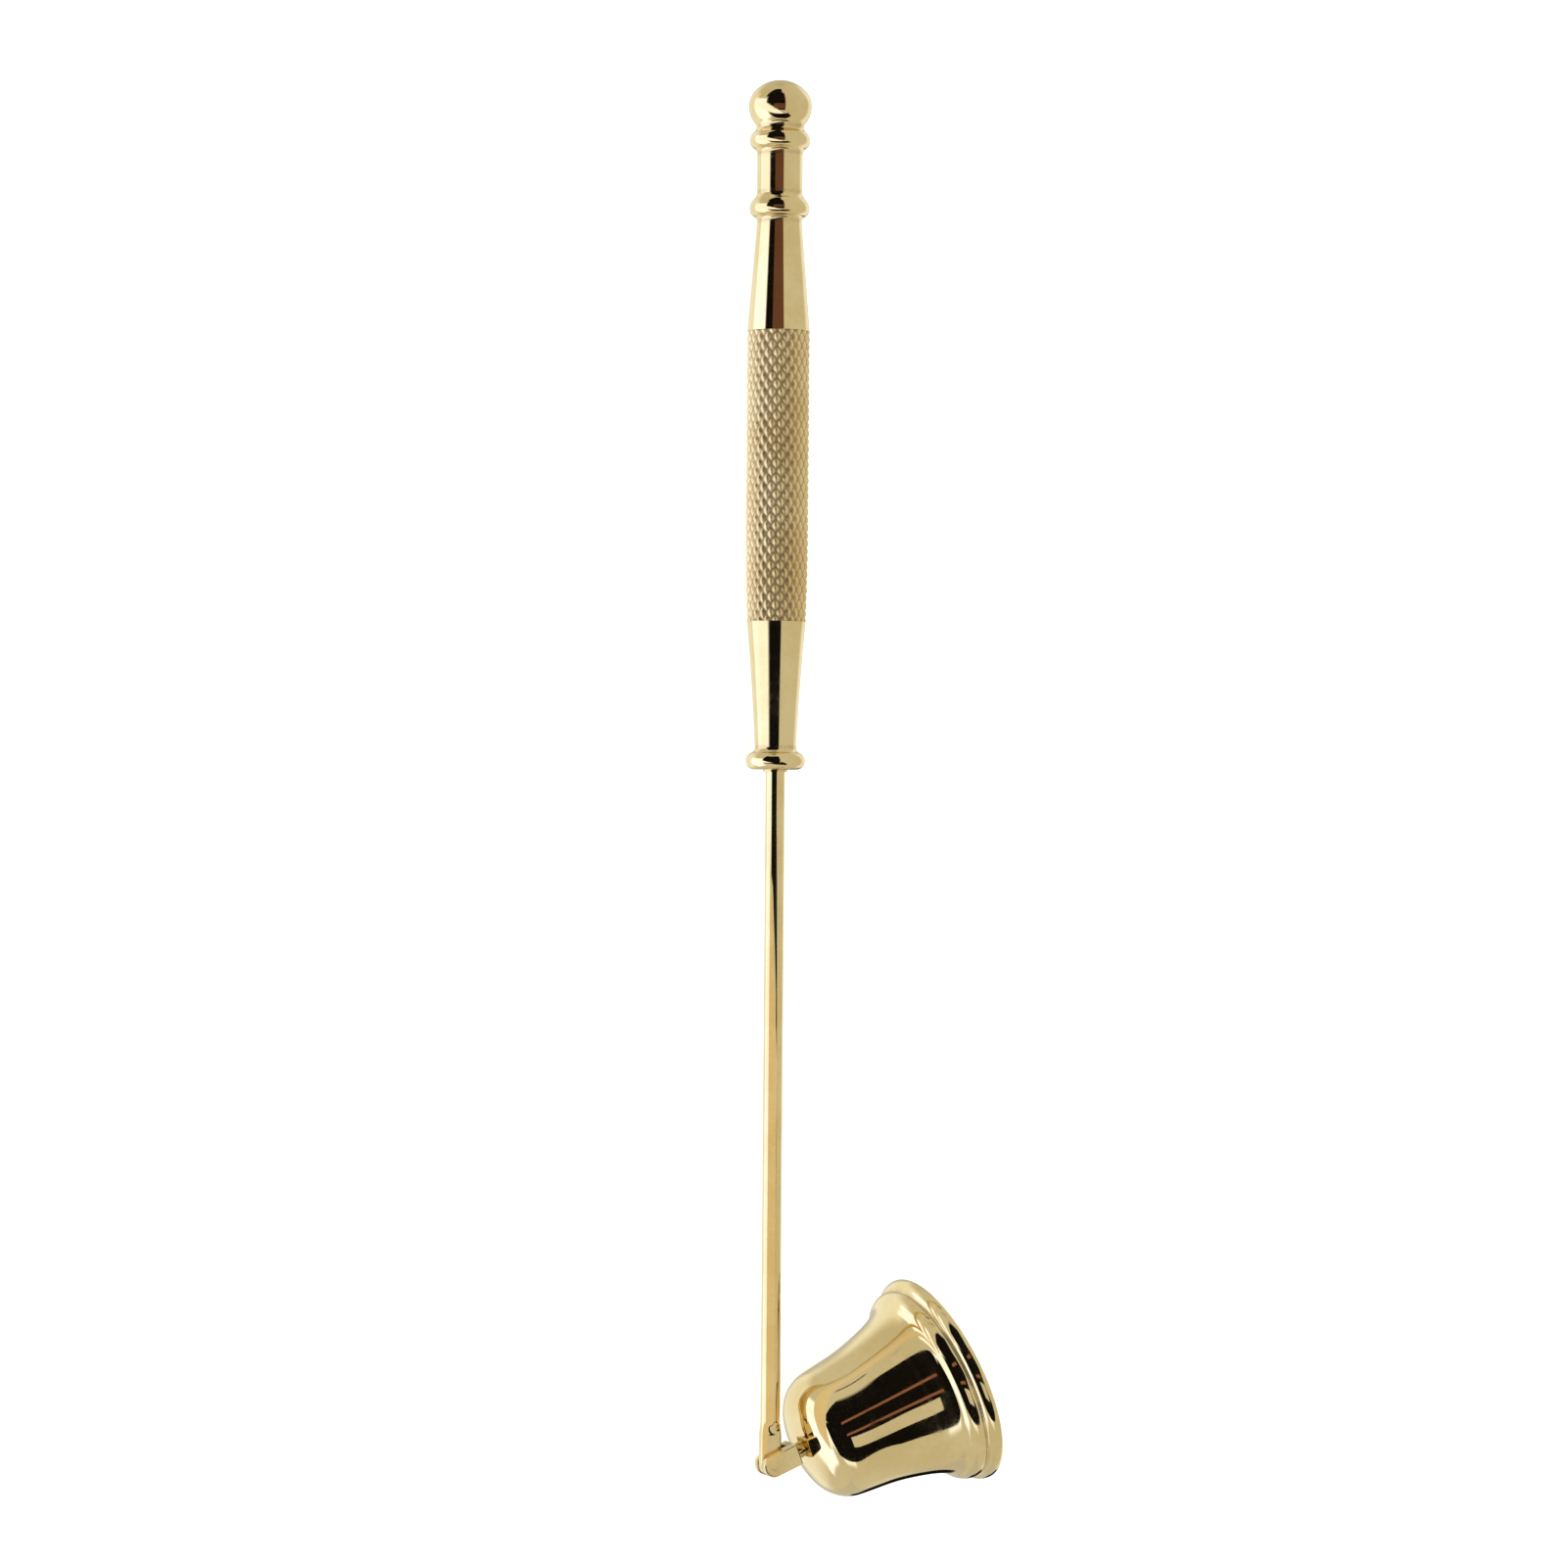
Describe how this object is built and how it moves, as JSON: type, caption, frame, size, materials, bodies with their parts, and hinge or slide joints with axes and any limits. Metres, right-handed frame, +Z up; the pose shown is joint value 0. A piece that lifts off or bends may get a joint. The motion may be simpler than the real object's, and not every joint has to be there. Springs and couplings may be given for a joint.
{
  "type": "candle snuffer",
  "caption": "Long candle snuffer with a knurled turned handle, ball end, slim rod and a flared bell on a riveted hinge.",
  "frame": {"origin": "on the table, under the middle of the outline's bounding box, with the snuffer lying on its grip, its ball and the bell's shoulder", "axes": "+Z up from the table, +Y along the handle from the hinge to the ball, +X to the side that the bell's mouth faces"},
  "size_m": [0.042, 0.2262, 0.0348],
  "materials": {
    "gold_plate_handle": "polished pale gold plate, satin in the knurl",
    "gold_plate_rod": "polished pale gold plate",
    "gold_plate_fork": "polished pale gold plate",
    "gold_plate_bell": "mirror polished pale gold plate",
    "steel_fastener": "bright spring steel",
    "brass_nut": "turned brass"
  },
  "bodies": {
    "bell_head": {"bell": "gold_plate_bell", "hinge_fork": "gold_plate_fork", "hinge_pin": "gold_plate_fork", "spring_washer": "steel_fastener", "crown_nut": "brass_nut"},
    "handle_and_rod": {"handle": "gold_plate_handle", "finial_ball": "gold_plate_handle", "rod": "gold_plate_rod"}
  },
  "joints": [
    {"name": "bell_hinge", "type": "hinge", "parent": "bell_head", "child": "handle_and_rod", "pos_m": [-0.01603, -0.10738, 0.005], "axis": [-0.459, 0, 0.8885], "range_deg": [-12.2, 236.2]}
  ]
}
